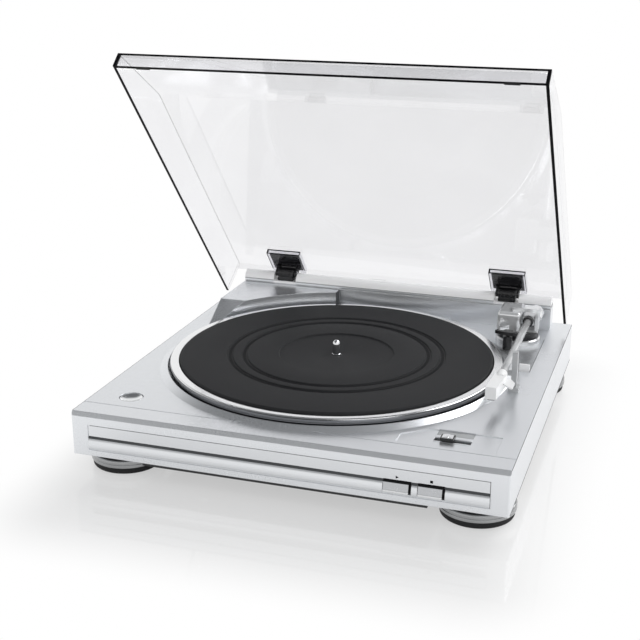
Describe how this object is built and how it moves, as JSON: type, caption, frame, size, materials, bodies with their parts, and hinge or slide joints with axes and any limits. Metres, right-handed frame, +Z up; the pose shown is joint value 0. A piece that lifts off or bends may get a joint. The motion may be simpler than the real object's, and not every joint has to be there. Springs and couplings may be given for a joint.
{
  "type": "belt drive turntable",
  "caption": "Silver belt drive turntable with a rubber mat, an automatic straight tonearm and a hinged clear dust cover",
  "frame": {"origin": "on the ground under the middle of the box round the turntable with its cover open", "axes": "+X to the right seen from the front, +Y to the back, +Z up"},
  "size_m": [0.36, 0.3594, 0.3308],
  "materials": {
    "silver_shell": "satin",
    "gloss_rail": "gloss",
    "clear_acrylic": "gloss",
    "black_plastic": "matte",
    "mat_rubber": "matte",
    "cast_aluminium": "satin",
    "foot_silver": "satin",
    "bright_chrome": "polished",
    "satin_tube": "satin",
    "white_plastic": "satin",
    "grey_plastic": "satin",
    "zinc_steel": "satin",
    "bearing_brass": "satin",
    "board_green": "satin",
    "needle": "polished"
  },
  "bodies": {
    "root": {"arm_base_ring": "gloss_rail", "arm_bearing": "bearing_brass", "arm_rest": "grey_plastic", "bearing_ball": "zinc_steel", "bottom_cover": "black_plastic", "button_board": "board_green", "case_screws": "zinc_steel", "drive_belt": "mat_rubber", "foot_pads": "mat_rubber", "foot_screws": "zinc_steel", "foot_shells": "foot_silver", "front_panel": "silver_shell", "hinge_bases": "black_plastic", "hinge_pins": "zinc_steel", "hinge_rail": "gloss_rail", "hinge_springs": "zinc_steel", "lead_glands": "black_plastic", "lifter_bush": "black_plastic", "motor_can": "zinc_steel", "motor_grommets": "mat_rubber", "motor_plate": "zinc_steel", "motor_screws": "zinc_steel", "phono_board": "board_green", "power_transformer": "zinc_steel", "rear_housing": "silver_shell", "servo_board": "board_green", "speed_switch": "black_plastic", "spindle_bearing": "bearing_brass", "top_case": "silver_shell"},
    "dust_cover_body": {"dust_cover": "clear_acrylic", "hinge_sockets": "clear_acrylic", "hinge_leaves": "black_plastic", "lid_bumpers": "mat_rubber"},
    "platter_body": {"platter": "cast_aluminium", "platter_mat": "mat_rubber", "platter_pinion": "black_plastic", "spindle_shaft": "bright_chrome"},
    "pulley_body": {"motor_pulley": "cast_aluminium", "motor_shaft": "zinc_steel"},
    "cam_body": {"cam_gear": "black_plastic"},
    "arm_base_body": {"arm_shaft": "zinc_steel", "arm_turret": "black_plastic", "pivot_housing": "gloss_rail", "arm_yoke": "gloss_rail", "arm_drive_lever": "black_plastic", "pivot_screws": "zinc_steel"},
    "tonearm_body": {"pivot_block": "gloss_rail", "arm_tube": "satin_tube", "tube_collar": "black_plastic", "counterweight": "satin_tube", "headshell": "white_plastic", "cartridge": "black_plastic", "stylus": "needle", "finger_lift": "white_plastic"},
    "lifter_body": {"lifter_bar": "black_plastic"},
    "cue_lever_body": {"cue_lever": "white_plastic"},
    "start_button_body": {"start_button": "bright_chrome"},
    "stop_button_body": {"stop_button": "bright_chrome"},
    "speed_button_body": {"speed_button": "bright_chrome"},
    "size_lever_body": {"size_lever": "bright_chrome"}
  },
  "joints": [
    {"name": "lid_hinge", "type": "hinge", "parent": "root", "child": "dust_cover_body", "pos_m": [0, 0.16329, 0.0835], "axis": [1, 0, 0], "range_deg": [0, 48.8]},
    {"name": "platter_spin", "type": "hinge", "parent": "root", "child": "platter_body", "pos_m": [-0.009, -0.00271, 0.0555], "axis": [0, 0, -1], "continuous": true},
    {"name": "pulley_spin", "type": "hinge", "parent": "root", "child": "pulley_body", "pos_m": [-0.106, 0.05329, 0.0555], "axis": [0, 0, -1], "continuous": true},
    {"name": "cam_turn", "type": "hinge", "parent": "root", "child": "cam_body", "pos_m": [0.02057, -0.02752, 0.0525], "axis": [0, 0, 1], "range_deg": [-6, 6]},
    {"name": "arm_swing", "type": "hinge", "parent": "root", "child": "arm_base_body", "pos_m": [0.135, 0.11829, 0.0555], "axis": [0, 0, -1], "range_deg": [0, 36]},
    {"name": "arm_lift", "type": "hinge", "parent": "arm_base_body", "child": "tonearm_body", "pos_m": [0.1451, 0.11929, 0.0745], "axis": [-1, 0, 0], "range_deg": [0, 3.5]},
    {"name": "lifter_raise", "type": "slide", "parent": "root", "child": "lifter_body", "axis": [0, 0, 1], "range_m": [0, 0.0022]},
    {"name": "cue_lever_turn", "type": "hinge", "parent": "root", "child": "cue_lever_body", "pos_m": [0.155, 0.02929, 0.0542], "axis": [-1, 0, 0], "range_deg": [0, 30]},
    {"name": "start_press", "type": "slide", "parent": "root", "child": "start_button_body", "axis": [0, 1, 0], "range_m": [0, 0.002], "stiffness_N_per_m": 250},
    {"name": "stop_press", "type": "slide", "parent": "root", "child": "stop_button_body", "axis": [0, 1, 0], "range_m": [0, 0.002], "stiffness_N_per_m": 250},
    {"name": "speed_press", "type": "slide", "parent": "root", "child": "speed_button_body", "axis": [0, 0, -1], "range_m": [0, 0.002], "stiffness_N_per_m": 250},
    {"name": "size_select", "type": "slide", "parent": "root", "child": "size_lever_body", "axis": [1, 0, 0], "range_m": [0, 0.012]}
  ],
  "couplings": [
    {"joint": "pulley_spin", "follows": "platter_spin", "ratio": 22},
    {"joint": "lifter_raise", "follows": "arm_lift", "m_per_rad": 0.034},
    {"joint": "cue_lever_turn", "follows": "arm_lift", "ratio": 8}
  ]
}
